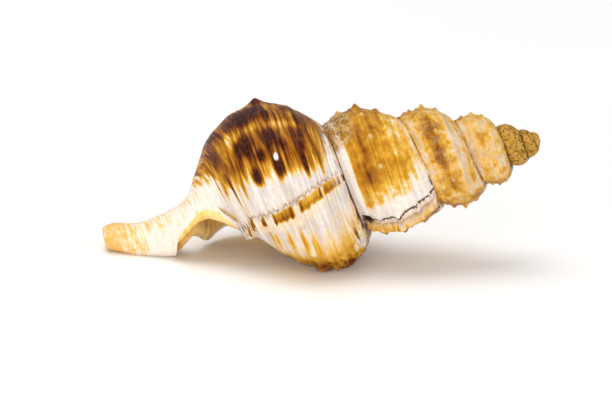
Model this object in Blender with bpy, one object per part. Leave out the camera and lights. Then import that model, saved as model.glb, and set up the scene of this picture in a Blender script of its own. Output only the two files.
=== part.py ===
# Frog shell lying on its opening: one closed solid, grown as a tube wound along a helix.
#
# The surface is a long strip. Its position along the growth is counted in turns, and its position across the
# whorl runs from 0 at the upper suture to 1 at the lower one, where the next turn of the same strip is joined.
# The last turn has no neighbour below, so there the strip goes on: 1 to 1.5 is the base, and 1.5 to 2 the canal.
# A whole number of turns faces the front of the shell as it lies, and a quarter of a turn later is its top.
# Distances along the axis start at the apex. Lengths are millimetres, and angles degrees, until the mesh is made.
import math

import bmesh
import bpy
import numpy as np

NODE_NAME = "frog_shell"
MILLIMETRE = 0.001

# The shell as it lies
SHELL_LENGTH = 75.6
AXIS_TILT = 11.7
FRONT_ANGLE = 17.0
AXIS_HEIGHT = 21.7

# Mesh density
TURN_COLUMNS = 50
LEAN_COLUMNS = 4
WHORL_ROWS = 12
BASE_ROWS = 5
CANAL_STEPS = (1.56, 1.61, 1.64, 1.67, 1.72, 1.8, 1.9, 2.0)
HOLLOW_COLUMNS = 8

# Growth
FIRST_TURN = -1.0
LAST_TURN = 5.62
LEAN = LEAN_COLUMNS / TURN_COLUMNS
GROWTH = np.array(
    [
        # turn, suture along the axis, suture radius, swell of the whorl, lean of the swell
        (-1.00, 0.0, 0.9, 0.2, 0.80),
        (-0.50, 0.2, 1.3, 0.3, 0.80),
        (0.00, 0.8, 1.5, 0.3, 0.80),
        (0.25, 1.4, 1.7, 0.4, 0.80),
        (0.75, 2.3, 2.5, 0.7, 0.90),
        (1.25, 3.4, 2.4, 0.9, 0.85),
        (1.75, 5.3, 3.0, 2.0, 0.60),
        (2.25, 7.1, 3.5, 2.0, 0.68),
        (2.75, 10.1, 5.2, 2.1, 0.75),
        (3.25, 14.1, 5.6, 2.4, 0.80),
        (3.75, 17.7, 7.4, 2.5, 0.90),
        (4.25, 23.1, 7.6, 2.7, 1.05),
        (4.75, 31.0, 8.0, 6.4, 0.62),
        (5.00, 33.6, 8.3, 5.7, 0.80),
        (5.25, 35.9, 8.6, 5.6, 1.00),
        (5.63, 43.4, 9.8, 5.7, 1.00),
        (5.75, 46.8, 9.7, 5.7, 1.00),
        (6.00, 51.5, 9.6, 5.7, 1.00),
        (6.25, 55.6, 9.6, 5.7, 1.00),
        (6.65, 59.8, 9.3, 5.7, 1.00),
    ]
)
SWELL_FULLNESS = 0.82

# Base and canal
BASE = np.array(
    [
        # turn, where the canal root starts, radius and place of the base's bend
        (4.10, 58.3, 1.8, 0.30),
        (4.60, 58.3, 3.2, 0.40),
        (4.75, 58.3, 4.7, 0.46),
        (5.00, 58.6, 4.6, 0.46),
        (5.25, 60.0, 4.3, 0.46),
        (5.65, 62.2, 4.6, 0.46),
    ]
)
CANAL = np.array(
    [
        # distance along the axis, centre above and behind the axis, outer radius, radius of the pillar inside
        (50.0, 0.0, 0.0, 9.6, 2.2),
        (57.0, -0.2, 0.3, 7.6, 2.2),
        (58.7, -0.9, 0.6, 4.3, 2.0),
        (60.0, -1.9, 1.0, 3.8, 1.7),
        (61.2, -2.9, 1.5, 3.6, 1.5),
        (62.2, -3.7, 2.0, 3.6, 1.3),
        (63.5, -4.5, 2.5, 3.7, 1.2),
        (65.7, -4.9, 3.2, 3.3, 1.1),
        (68.1, -4.9, 3.7, 2.8, 1.0),
        (70.6, -4.6, 4.1, 2.5, 0.9),
        (72.2, -4.1, 4.3, 2.4, 0.8),
        (73.9, -3.5, 4.5, 2.1, 0.7),
        (75.0, -3.4, 4.6, 1.8, 0.6),
        (75.6, -3.3, 4.6, 1.4, 0.5),
    ]
)

# Opening: how far its two edges stand from the last turn's start and end, for each place across the whorl
LIP_EDGE = np.array(
    [(0, 0), (0.2, 1), (0.4, -3), (0.75, -3), (0.85, 4), (1.0, 21), (1.25, 26), (1.5, 40), (1.66, 51), (2, 51)]
)
COLUMELLA_EDGE = np.array(
    [(1.0, 0), (1.125, 25), (1.25, 57), (1.375, 97), (1.5, 121), (1.61, 120), (1.64, 108), (1.67, 52), (1.72, 38), (2, 35)]
)
LIP_REACH = 0.3
COLUMELLA_REACH = 0.9
WALL = 1.2
HOLLOW_DEPTH = 160.0
BORE_START = 1.6
BORE_FULL = 1.74
BORE_RADIUS = 0.36
BORE_OFFSET = 0.28

# Relief
VARIX_TURNS = (2.60, 3.38, 3.86, 4.44, 5.00)
VARIX_HEIGHTS = (0.3, 0.4, 1.0, 0.8, 0.8)
VARIX_WIDTH = 0.085
VARIX_DROP = 0.02
VARIX_SWEEP = 6.0
LIP_HEIGHT = 1.7
KNOBS_PER_TURN = 13
KNOB_PHASE = 3.0
KNOB_ROW = 0.47
KNOB_HEIGHT = 0.065
CORD_ROWS = 6
CORD_HEIGHT = 0.012


def along(table, column, at):
    # Smooth curve through a column of a table, without overshoot between its points.
    x, y = table[:, 0], table[:, column]
    step = np.diff(x)
    rise = np.diff(y) / step
    slope = np.concatenate([rise[:1], np.zeros(len(x) - 2), rise[-1:]])
    same_way = rise[1:] * rise[:-1] > 0
    total = np.where(same_way, rise[1:] + rise[:-1], 1)
    slope[1:-1] = np.where(same_way, 2 * rise[1:] * rise[:-1] / total, 0)
    at = np.clip(at, x[0], x[-1])
    i = np.clip(np.searchsorted(x, at, side="right") - 1, 0, len(step) - 1)
    u = (at - x[i]) / step[i]
    start = y[i] * (1 + 2 * u) + step[i] * slope[i] * u
    end = y[i + 1] * (3 - 2 * u) - step[i] * slope[i + 1] * (1 - u)
    return (1 - u) ** 2 * start + u**2 * end


def smooth(value):
    value = np.clip(value, 0, 1)
    return value * value * (3 - 2 * value)


def mix(a, b, share):
    return a + (b - a) * share


def relief(turn, column_turn, across):
    # Height of the varices over the smooth whorl, and of the knobs and cords as a share of its radius.
    grown_turn = turn + LEAN * (np.clip(across, 0, 1) + VARIX_SWEEP * np.clip(across - 1, 0, 0.3))
    fade = smooth((1.45 - across) / 0.4) * smooth(across / 0.12 + 0.25)
    height = LIP_HEIGHT * smooth(1 + (column_turn - LAST_TURN) / VARIX_WIDTH) * smooth((1.62 - across) / 0.4)
    for varix, tall in zip(VARIX_TURNS, VARIX_HEIGHTS):
        past = grown_turn - varix
        older = smooth(1 + past / VARIX_WIDTH)
        younger = smooth(1 - past / VARIX_DROP)
        height = np.maximum(height, tall * np.minimum(older, younger) * fade)
    knob_turn = np.cos(np.radians(KNOBS_PER_TURN * (360 * turn - KNOB_PHASE)))
    knobs = np.clip(knob_turn, 0, 1) ** 2 * np.exp(-(((across - KNOB_ROW) / 0.07) ** 2))
    cords = np.cos(2 * math.pi * CORD_ROWS * across) * smooth(across / 0.1) * smooth((1.4 - across) / 0.2)
    grown = smooth((turn - 0.5) / 2)
    return height, (KNOB_HEIGHT * knobs + CORD_HEIGHT * cords) * grown


def whorl(turn, across, canal_column=3):
    # Distance along the axis, radius, and the centre's place above and behind the axis, for the smooth surface.
    upper = [along(GROWTH, column, turn) for column in (1, 2)]
    lower = [along(GROWTH, column, turn + 1) for column in (1, 2)]
    share = np.clip(across, 0, 1)
    swell = np.sin(math.pi * share ** along(GROWTH, 4, turn))
    radius = mix(upper[1], lower[1], share)
    radius = radius + along(GROWTH, 3, turn) * np.clip(swell, 0, 1) ** SWELL_FULLNESS
    axial = mix(upper[0], lower[0], share)
    # The base: a curve from the lower suture, round a bend, to the canal root
    root = along(BASE, 1, turn)
    bend_axial = mix(lower[0], root, along(BASE, 3, turn))
    bend_radius = along(BASE, 2, turn)
    u = np.clip((across - 1) * 2, 0, 1)
    base_axial = (1 - u) ** 2 * lower[0] + 2 * u * (1 - u) * bend_axial + u**2 * root
    base_radius = (1 - u) ** 2 * lower[1] + 2 * u * (1 - u) * bend_radius + u**2 * along(CANAL, canal_column, root)
    # The canal
    canal_axial = mix(root, SHELL_LENGTH, np.clip((across - 1.5) * 2, 0, 1))
    in_base, in_canal = across > 1, across > 1.5
    axial = np.where(in_canal, canal_axial, np.where(in_base, base_axial, axial))
    radius = np.where(in_base, base_radius, radius)
    radius = np.where(in_canal, along(CANAL, canal_column, canal_axial), radius)
    above = along(CANAL, 1, axial) * smooth(u)
    behind = along(CANAL, 2, axial) * smooth(u)
    return axial, radius, above, behind


def edge_turns(turn, across):
    # The turn where a point of the strip stands. Its columns lean back across the whorl, as growth lines do, and
    # the last turn's slide round the shell, so that its ends follow the edges of the opening.
    to_lip = smooth(1 - (LAST_TURN - turn) / LIP_REACH)
    to_columella = smooth((LAST_TURN - LEAN - turn) / COLUMELLA_REACH)
    to_columella = to_columella / smooth((1 - 2 * LEAN) / COLUMELLA_REACH)
    lip = np.interp(across, LIP_EDGE[:, 0], LIP_EDGE[:, 1])
    columella = np.where(across > 1, np.interp(across, COLUMELLA_EDGE[:, 0], COLUMELLA_EDGE[:, 1]), 0)
    return turn - LEAN * (np.clip(across, 0, 1)) + (lip * to_lip + columella * to_columella) / 360


def place(turn, axial, radius, above, behind):
    # Point of the shell as it lies: the axis runs from the canal, low at -X, to the apex, high at +X.
    angle = np.radians(360 * turn)
    front, tilt = math.radians(FRONT_ANGLE), math.radians(AXIS_TILT)
    out_up = radius * np.sin(angle) + above
    out_front = radius * np.cos(angle) - behind
    up = out_up * math.cos(front) + out_front * math.sin(front)
    forward = out_front * math.cos(front) - out_up * math.sin(front)
    x = -axial * math.cos(tilt) - up * math.sin(tilt)
    z = AXIS_HEIGHT - axial * math.sin(tilt) + up * math.cos(tilt)
    return np.stack(np.broadcast_arrays(x, -forward, z), axis=-1)


def outer_point(column_turn, across):
    turn = edge_turns(column_turn, across)
    axial, radius, above, behind = whorl(turn, across)
    height, share = relief(turn, column_turn, across)
    return place(turn, axial, radius * (1 + share) + height, above, behind)


def inner_wall(turn, across):
    # The outer wall's inside: the smooth whorl moved in by the wall's thickness.
    step = 0.01
    axial, radius, above, behind = whorl(turn, across)
    ahead = whorl(turn, np.minimum(across + step, 2))
    back = whorl(turn, np.maximum(across - step, 0))
    d_axial, d_radius = ahead[0] - back[0], ahead[1] - back[1]
    size = np.hypot(d_axial, d_radius)
    return axial + WALL * d_radius / size, radius - WALL * d_axial / size, above, behind


def bore_point(turn, across, share):
    # The round bore of the canal, from the lip's side of its slit, where share is 0, round to the other side.
    axial, radius, above, behind = whorl(turn, across)
    slit = 360 * (LAST_TURN - LEAN / 2) + (LIP_EDGE[-1, 1] + COLUMELLA_EDGE[-1, 1]) / 2
    angle = np.radians(slit - 6 - share * 348)
    lean = math.radians(slit)
    across_front = radius * (BORE_OFFSET * math.cos(lean) + BORE_RADIUS * np.cos(angle))
    across_up = radius * (BORE_OFFSET * math.sin(lean) + BORE_RADIUS * np.sin(angle))
    turn = np.arctan2(across_up, across_front) / (2 * math.pi)
    return place(turn, axial, np.hypot(across_front, across_up), above, behind)


def hollow_points(rows_lip, rows_columella):
    # Columns from each edge of the opening to the back of the hollow, the first ones just inside the edges.
    columns = np.arange(HOLLOW_COLUMNS + 1)
    depth = columns / HOLLOW_COLUMNS
    back = LAST_TURN - HOLLOW_DEPTH / 360
    # Lip side
    across = rows_lip[None, :]
    turn = mix(edge_turns(LAST_TURN, across), back, depth[:, None])
    lip = place(turn, *inner_wall(turn, across))
    bore = smooth((across - BORE_START) / (BORE_FULL - BORE_START))[..., None]
    lip = mix(lip, bore_point(LAST_TURN, across, depth[:, None] / 2), bore)
    # Columella side
    across = rows_columella[None, :]
    depth = (columns + 1) / (HOLLOW_COLUMNS + 1)
    turn = mix(edge_turns(LAST_TURN - 1 + LEAN, across), back - 1, depth[:, None])
    inside = smooth(depth[:, None] * HOLLOW_COLUMNS / 2)
    start = 0.12 * inside
    moved = np.where(across < 1.5, 1.5 - (1.5 - across) * (1 - start / 0.5), across)
    outer = place(turn, *whorl(turn, moved))
    pillar = place(turn, *whorl(turn, moved, canal_column=4))
    columella = mix(outer, pillar, inside[..., None])
    bore = smooth((across - BORE_START) / (BORE_FULL - BORE_START))[..., None]
    columella = mix(columella, bore_point(LAST_TURN, across, 1 - depth[:, None] / 2), bore)
    lip[:, 0] = columella[:, 0]
    return lip, columella


def apart(a, b):
    return np.linalg.norm(a - b, axis=-1)


def zipper(points, first, second):
    # Triangles between two lines of points that run side by side, each across the shorter way.
    faces, i, j = [], 0, 0
    while i < len(first) - 1 or j < len(second) - 1:
        step_first = j == len(second) - 1
        if i < len(first) - 1 and j < len(second) - 1:
            one = apart(points[first[i + 1]], points[second[j]])
            step_first = one < apart(points[first[i]], points[second[j + 1]])
        if step_first:
            faces.append((first[i], first[i + 1], second[j]))
            i += 1
        else:
            faces.append((first[i], second[j + 1], second[j]))
            j += 1
    return [face for face in faces if len(set(face)) == 3]


def quads(points, grid):
    # Two triangles for each cell of a grid of point numbers, split along the shorter diagonal.
    a, b, c, d = (part.ravel() for part in (grid[:-1, :-1], grid[1:, :-1], grid[1:, 1:], grid[:-1, 1:]))
    short = (apart(points[a], points[c]) <= apart(points[b], points[d]))[:, None]
    one = np.where(short, np.stack([a, b, c], -1), np.stack([a, b, d], -1))
    two = np.where(short, np.stack([a, c, d], -1), np.stack([b, c, d], -1))
    return [tuple(face) for face in np.concatenate([one, two]).tolist() if len(set(face)) == 3]


def shell_mesh():
    columns = round((LAST_TURN - FIRST_TURN) * TURN_COLUMNS) + 1
    turns = FIRST_TURN + np.arange(columns) / TURN_COLUMNS
    shared = TURN_COLUMNS - LEAN_COLUMNS
    first_base = columns - 1 - shared
    whorl_rows = np.linspace(0, 1, WHORL_ROWS + 1)
    lower_rows = np.concatenate([np.linspace(1, 1.5, BASE_ROWS + 1)[1:], CANAL_STEPS])
    points = []

    def add(new):
        start = sum(len(block) for block in points)
        points.append(new.reshape(-1, 3))
        return start + np.arange(new.size // 3).reshape(new.shape[:-1])

    # Outside: the strip, whose lower edge is the upper edge one turn later
    turn = turns[:, None]
    strip = np.zeros((columns, WHORL_ROWS + 1), int)
    strip[:, :-1] = add(outer_point(turn, whorl_rows[None, :-1]))
    strip[:-shared, -1] = strip[shared:, 0]
    strip[-shared:, -1:] = add(outer_point(turn[-shared:], whorl_rows[None, -1:]))
    # Outside: the base and the canal of the last turn
    last = turn[first_base:]
    lower = np.zeros((shared + 1, len(lower_rows) + 1), int)
    lower[:, 0] = strip[first_base:, -1]
    lower[:, 1:] = add(outer_point(last, lower_rows[None, :]))
    # Apex
    rim = np.concatenate([strip[: shared + 1, 0], strip[0, 1:-1][::-1]])
    tip = add(place(FIRST_TURN, -0.1, 0.0, 0.0, 0.0)[None])
    # Hollow
    lip_rows = np.concatenate([whorl_rows, lower_rows])
    columella_rows = np.concatenate([[1.0], lower_rows])
    lip, columella = hollow_points(lip_rows, columella_rows)
    inside_columella = add(columella)
    inside_lip = add(lip[:, 1:])
    inside_lip = np.hstack([inside_columella[:, :1], inside_lip])
    lip_grid = np.vstack([np.concatenate([strip[-1], lower[-1, 1:]]), inside_lip])
    columella_grid = np.vstack([lower[0], inside_columella])
    # Faces: the grids, the apex, the back of the hollow and the canal's end
    points = np.concatenate(points)
    faces = [face for grid in (strip, lower, lip_grid, columella_grid) for face in quads(points, grid)]
    faces += [(int(tip[0]), int(a), int(b)) for a, b in zip(rim, np.roll(rim, -1))]
    faces += zipper(points, lip_grid[-1].tolist(), columella_grid[-1].tolist())
    inner_rim = np.concatenate([lip_grid[:, -1], columella_grid[::-1, -1]])
    faces += zipper(points, lower[::-1, -1].tolist(), inner_rim.tolist())
    return points, faces


def shell_material():
    material = bpy.data.materials.new("shell")
    material.use_nodes = True
    shader = material.node_tree.nodes["Principled BSDF"]
    shader.inputs["Base Color"].default_value = (0.62, 0.42, 0.22, 1)
    shader.inputs["Roughness"].default_value = 0.35
    shader.inputs["Metallic"].default_value = 0.0
    return material


def make_shell():
    points, faces = shell_mesh()
    points[:, 2] = np.maximum(points[:, 2], 0)
    middle = (points.min(axis=0) + points.max(axis=0)) / 2
    points[:, :2] -= middle[:2]
    mesh = bpy.data.meshes.new(NODE_NAME)
    mesh.from_pydata((points * MILLIMETRE).tolist(), [], faces)
    outward = bmesh.new()
    outward.from_mesh(mesh)
    bmesh.ops.recalc_face_normals(outward, faces=outward.faces)
    outward.to_mesh(mesh)
    outward.free()
    mesh.shade_smooth()
    shell = bpy.data.objects.new(NODE_NAME, mesh)
    bpy.context.scene.collection.objects.link(shell)
    mesh.materials.append(shell_material())
    return shell


for old in list(bpy.data.objects):
    bpy.data.objects.remove(old)
make_shell()
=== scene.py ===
# Frog shell lying on its opening, in the light it was photographed in.
import math

import bmesh
import bpy
import numpy as np
from mathutils import Matrix, Vector


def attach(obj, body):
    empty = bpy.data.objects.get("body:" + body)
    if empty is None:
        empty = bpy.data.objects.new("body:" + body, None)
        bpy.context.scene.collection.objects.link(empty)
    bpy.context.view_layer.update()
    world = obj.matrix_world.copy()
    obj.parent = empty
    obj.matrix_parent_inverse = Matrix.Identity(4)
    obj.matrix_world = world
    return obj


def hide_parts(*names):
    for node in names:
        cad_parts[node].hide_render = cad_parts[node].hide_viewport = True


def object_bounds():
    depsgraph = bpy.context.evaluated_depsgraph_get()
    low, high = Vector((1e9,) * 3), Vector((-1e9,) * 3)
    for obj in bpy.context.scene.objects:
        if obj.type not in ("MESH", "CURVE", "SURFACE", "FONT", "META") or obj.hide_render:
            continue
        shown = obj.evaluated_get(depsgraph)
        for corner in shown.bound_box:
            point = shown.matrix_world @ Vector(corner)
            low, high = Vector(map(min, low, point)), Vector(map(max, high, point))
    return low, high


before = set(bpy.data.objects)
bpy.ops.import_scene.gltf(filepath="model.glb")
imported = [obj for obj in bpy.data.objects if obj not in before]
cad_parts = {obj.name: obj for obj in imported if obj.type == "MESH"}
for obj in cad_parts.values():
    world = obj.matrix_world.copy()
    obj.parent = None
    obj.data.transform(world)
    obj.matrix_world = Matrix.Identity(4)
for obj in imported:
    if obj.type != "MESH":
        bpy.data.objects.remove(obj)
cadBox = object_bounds()

# shell form: lengths in mm, angles in degrees, growth counted in turns. The place across runs from 0 to 1
# over the whorl, from one suture to the next, then to 1.5 over the base and to 2 along the canal.
shellForm = {
    "length": 75.6,
    "axisTilt": 11.7,
    "frontAngle": 17.0,  # how far the front of a whole turn looks up
    "axisHeight": 21.7,
    "middle": (-36.651, 0.043),  # centre of the box, before it is moved to the origin
    "turnColumns": 250,
    "leanColumns": 20,
    "whorlRows": 46,
    "baseRows": 26,
    "canalRowsPerStep": 4,
    "hollowColumns": 26,
    "firstTurn": -1.0,
    "lastTurn": 5.62,
    "swellFullness": 0.82,
    "wall": 1.2,
    "hollowDepth": 160.0,
    "boreStart": 1.6,
    "boreFull": 1.74,
    "boreRadius": 0.36,
    "boreOffset": 0.28,
    "slitHalf": 6.0,  # of the slit along the canal
    "lipFolds": 9,  # inside the lip, per whorl
    "foldHeight": 0.22,
    "thinned": 0.24,  # how much shorter the pillar is inside
    "lipReach": 0.3,
    "columellaReach": 0.9,
}
shellForm["lean"] = shellForm["leanColumns"] / shellForm["turnColumns"]

# turn, suture along the axis, suture radius, swell of the whorl, lean of the swell
growthTable = np.array(
    [
        (-1.00, 0.0, 0.9, 0.2, 0.80),
        (-0.50, 0.2, 1.3, 0.3, 0.80),
        (0.00, 0.8, 1.5, 0.3, 0.80),
        (0.25, 1.4, 1.7, 0.4, 0.80),
        (0.75, 2.3, 2.5, 0.7, 0.90),
        (1.25, 3.4, 2.4, 0.9, 0.85),
        (1.75, 5.3, 3.0, 2.0, 0.60),
        (2.25, 7.1, 3.5, 2.0, 0.68),
        (2.75, 10.1, 5.2, 2.1, 0.75),
        (3.25, 14.1, 5.6, 2.4, 0.80),
        (3.75, 17.7, 7.4, 2.5, 0.90),
        (4.25, 23.1, 7.6, 2.7, 1.05),
        (4.75, 31.0, 8.0, 6.4, 0.62),
        (5.00, 33.6, 8.3, 5.7, 0.80),
        (5.25, 35.9, 8.6, 5.6, 1.00),
        (5.63, 43.4, 9.8, 5.7, 1.00),
        (5.75, 46.8, 9.7, 5.7, 1.00),
        (6.00, 51.5, 9.6, 5.7, 1.00),
        (6.25, 55.6, 9.6, 5.7, 1.00),
        (6.65, 59.8, 9.3, 5.7, 1.00),
    ]
)
# turn, where the canal root starts, radius and place of the base's bend
baseTable = np.array(
    [
        (4.10, 58.3, 1.8, 0.30),
        (4.60, 58.3, 3.2, 0.40),
        (4.75, 58.3, 4.7, 0.46),
        (5.00, 58.6, 4.9, 0.46),
        (5.25, 60.0, 5.3, 0.46),
        (5.65, 62.2, 4.6, 0.46),
    ]
)
# distance along the axis, centre above and behind it, outer radius, radius of the pillar inside
canalTable = np.array(
    [
        (50.0, 0.0, 0.0, 9.6, 2.2),
        (57.0, -0.2, 0.3, 7.6, 2.2),
        (58.7, -0.9, 0.6, 4.3, 2.0),
        (60.0, -1.9, 1.0, 3.8, 1.7),
        (61.2, -2.9, 1.5, 3.6, 1.5),
        (62.2, -3.6, 2.0, 3.7, 1.3),
        (63.5, -4.3, 2.5, 3.9, 1.2),
        (65.7, -4.6, 3.2, 3.6, 1.1),
        (68.1, -4.6, 3.7, 3.1, 1.0),
        (70.6, -4.3, 4.1, 2.8, 0.9),
        (72.2, -3.8, 4.3, 2.7, 0.8),
        (73.9, -3.3, 4.5, 2.4, 0.7),
        (75.0, -3.2, 4.6, 2.1, 0.6),
        (75.6, -3.1, 4.6, 1.7, 0.5),
    ]
)
# place across the whorl, degrees past the last turn's end or start
lipEdge = np.array(
    [
        (0, 0),
        (0.2, 1),
        (0.4, -3),
        (0.75, -3),
        (0.85, 4),
        (1.0, 21),
        (1.25, 26),
        (1.5, 40),
        (1.66, 51),
        (2, 51),
    ]
)
columellaEdge = np.array(
    [
        (1.0, 0),
        (1.125, 40),
        (1.25, 92),
        (1.375, 117),
        (1.5, 125),
        (1.61, 122),
        (1.64, 108),
        (1.67, 52),
        (1.72, 38),
        (2, 35),
    ]
)

reliefForm = {
    "varices": (  # former lips: turn, height in mm, share of the teeth
        (2.60, 0.3, 0.2),
        (3.38, 0.4, 0.3),
        (3.86, 1.35, 0.3),
        (4.44, 0.9, 0.7),
        (5.00, 1.0, 1.0),
    ),
    "varixWidth": 0.055,
    "varixDrop": 0.007,
    "varixSweep": 6.0,
    "varixRibs": 0.18,
    "lipHeight": 1.7,
    "teeth": 24,  # per whorl, along a varix edge
    "toothDepth": 0.010,  # in turns
    "pullReach": 0.03,  # how near a varix edge the columns gather, in turns
    "pullShare": 0.55,
    "knobsPerTurn": 13,
    "knobPhase": 3.0,
    "knobRow": 0.53,
    "secondRow": 0.27,  # from the first row to the second
    "knobHeight": 0.050,
    "spireEnd": 4.6,  # the spire's second row of knobs and taller cords end here
    "spireCords": 2.8,  # cords stand this much taller on the spire
    "cords": (  # place across the whorl, height as a share of the radius, half width
        (0.10, 0.010, 0.030),
        (0.27, 0.016, 0.032),
        (0.53, 0.014, 0.035),
        (0.77, 0.014, 0.035),
        (0.93, 0.010, 0.030),
        (1.03, 0.010, 0.022),
        (1.12, 0.009, 0.020),
        (1.20, 0.009, 0.020),
        (1.28, 0.010, 0.020),
        (1.36, 0.012, 0.020),
    ),
    # heights and depths of the worn and broken places, in mm
    "lumpHeight": 0.42,
    "tornHeight": 0.24,
    "frillHeight": 0.16,
    "frillsPerTurn": 55,
    "crackDepth": 0.3,
    "flapHeight": 0.7,
    "overhangHeight": 0.9,
    "pits": (  # age, place across, half length, half width, depth
        (3.907, 0.935, 0.013, 0.036, 1.2),
        (3.345, 0.95, 0.012, 0.03, 0.4),
    ),
}
# age in turns and half length of the places that are worn or broken
wornPlaces = {
    "underside": (4.80, 0.060),
    "roughPiece": (4.81, 0.060),
    "frills": (4.80, 0.050),
    "tornSuture": (5.045, 0.050),
    "flakes": (4.985, 0.035),
    "overhang": (4.835, 0.035),
    "crackGroove": (3.896, 0.006),
    # painted shade in the groove and in the pit past the third former lip
    "grooveShade": (3.896, 0.0042),
    "pitShade": (3.896, 0.017),
    "dullUnderside": (4.79, 0.045),
    "mottledUnderside": (4.79, 0.050),
    "palePiece": (4.82, 0.050),
    "stripGap": (4.82, 0.080),
    "undersideCrack": (4.855, 0.040),
    "shreddedSuture": (5.05, 0.050),
    "smoothBelly": (4.87, 0.085),
}
# wedge of old shell at the right end of the arch
flap = {"turn": 4.928, "across": 1.235, "halfTurn": 0.038, "halfAcross": 0.036, "lean": 1.85}


def alongCurve(table, column, at):
    # a smooth curve through the table's points, with no overshoot
    x, y = table[:, 0], table[:, column]
    step = np.diff(x)
    rise = np.diff(y) / step
    slope = np.concatenate([rise[:1], np.zeros(len(x) - 2), rise[-1:]])
    sameWay = rise[1:] * rise[:-1] > 0
    total = np.where(sameWay, rise[1:] + rise[:-1], 1)
    slope[1:-1] = np.where(sameWay, 2 * rise[1:] * rise[:-1] / total, 0)
    at = np.clip(at, x[0], x[-1])
    i = np.clip(np.searchsorted(x, at, side="right") - 1, 0, len(step) - 1)
    u = (at - x[i]) / step[i]
    start = y[i] * (1 + 2 * u) + step[i] * slope[i] * u
    end = y[i + 1] * (3 - 2 * u) - step[i] * slope[i + 1] * (1 - u)
    return (1 - u) ** 2 * start + u**2 * end


def smoothStep(value):
    value = np.clip(value, 0, 1)
    return value * value * (3 - 2 * value)


def rising(value, start, span):
    # 0 up to the start, 1 from one span further on
    return smoothStep((value - start) / span)


def falling(value, end, span):
    # 1 up to one span before the end, 0 from the end on
    return smoothStep((end - value) / span)


def blendTo(a, b, share):
    return a + (b - a) * share


def bump(value, middle, half):
    return np.exp(-(((value - middle) / half) ** 2))


def waveNoise(u, v, seed):
    # soft repeatable unevenness from a few crossed waves, about -1 to 1
    total = 0
    for k in range(1, 6):
        turnBy = seed * 1.7 + k * 2.39
        alongU = u * (0.7 + 0.53 * k) * math.cos(turnBy)
        alongV = v * (0.9 + 0.47 * k) * math.sin(turnBy)
        total = total + np.sin(alongU + alongV + turnBy)
    return total / 3.2


def leanedTurn(turn, across):
    # growth lines lean back across the whorl, so this is the age of a point
    sweep = reliefForm["varixSweep"] * np.clip(across - 1, 0, 0.3)
    return turn + shellForm["lean"] * (np.clip(across, 0, 1) + sweep)


def worn(name, age):
    return bump(age, *wornPlaces[name])


def toothShape(across):
    # 0 between two teeth, 1 at a tooth's tip
    wave = across * reliefForm["teeth"]
    wave = wave + 0.3 * np.sin(across * 31.0)
    return 1 - np.abs(2 * (wave - np.floor(wave)) - 1)


def pastLip(age, across, varixTurn, toothed):
    # how far a point lies past the toothed edge of a former lip, in turns
    return age - varixTurn - toothed * reliefForm["toothDepth"] * toothShape(across)


def knobWave(turn):
    # 1 at each knob round the whorl, 0 between two
    wave = np.cos(np.radians(reliefForm["knobsPerTurn"] * (360 * turn - reliefForm["knobPhase"])))
    return np.clip(wave, 0, 1)


def flapShape(turn, across):
    leaned = across - flap["lean"] * (turn - flap["turn"])
    near = bump(turn, flap["turn"], flap["halfTurn"]) * bump(leaned, flap["across"], flap["halfAcross"])
    return smoothStep(2.4 * near - 0.7)


def crackWander(turn, across):
    return 0.0035 * waveNoise(across * 60, turn * 9, 2)


def varixHeight(age, columnTurn, across):
    width = reliefForm["varixWidth"]
    height = reliefForm["lipHeight"] * smoothStep(1 + (columnTurn - shellForm["lastTurn"]) / width)
    height = height * falling(across, 1.48, 0.4)
    fade = falling(across, 1.45, 0.4) * rising(across, -0.03, 0.12)
    for varixTurn, tall, toothed in reliefForm["varices"]:
        past = pastLip(age, across, varixTurn, toothed)
        older = smoothStep(1 + past / width)
        younger = smoothStep(1 - past / reliefForm["varixDrop"])
        ribs = 1 + reliefForm["varixRibs"] * toothed * np.cos(math.pi * across * reliefForm["teeth"])
        height = np.maximum(height, tall * np.minimum(older, younger) * fade * ribs)
    return height


def wornHeight(age, turn, across):
    # what wear, breaks and flakes add to the surface or take off it, in mm
    form = reliefForm
    offSuture = rising(across, 0, 0.05)
    lumps = waveNoise(turn * 95, across * 26, 5) + 0.6 * waveNoise(turn * 210, across * 60, 6)
    lumps = lumps * worn("underside", age) * falling(across, 1.2, 0.3) * offSuture
    torn = bump(across, 0.045, 0.03) * rising(turn, 2.2, 0.6)
    torn = torn + 1.6 * bump(across, 0.06, 0.035) * worn("tornSuture", age)
    torn = torn * (0.6 + waveNoise(turn * 120, across * 40, 11))
    rough = 0.3 + 0.6 * waveNoise(turn * 260, across * 70, 4)
    rough = rough * worn("roughPiece", age) * falling(across, 0.12, 0.03)
    frills = age * form["frillsPerTurn"] + 0.3 * waveNoise(turn * 9, across * 24, 7)
    frills = np.sin(2 * math.pi * frills) * worn("frills", age) * falling(across, 1.15, 0.2) * offSuture
    groove = worn("crackGroove", age + crackWander(turn, across))
    groove = groove * falling(across, 0.97, 0.1) * rising(across, 0.12, 0.1)
    flakes = 0.65 + 0.45 * np.sin(2 * math.pi * (across * 26 + age * 12))
    flakes = flakes * worn("flakes", age) * rising(across, 0.97, 0.05) * falling(across, 1.28, 0.08)
    height = form["lumpHeight"] * lumps + form["tornHeight"] * torn + rough
    height = height + form["frillHeight"] * frills - form["crackDepth"] * groove + flakes
    height = height + form["flapHeight"] * flapShape(turn, across)
    height = height + form["overhangHeight"] * worn("overhang", age) * falling(across, 0.09, 0.07)
    for pitAge, pitPlace, halfAge, halfAcross, depth in form["pits"]:
        pit = bump(age, pitAge, halfAge) * bump(across, pitPlace, halfAcross)
        height = height - depth * pit * (across < 0.999)
    return height


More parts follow.
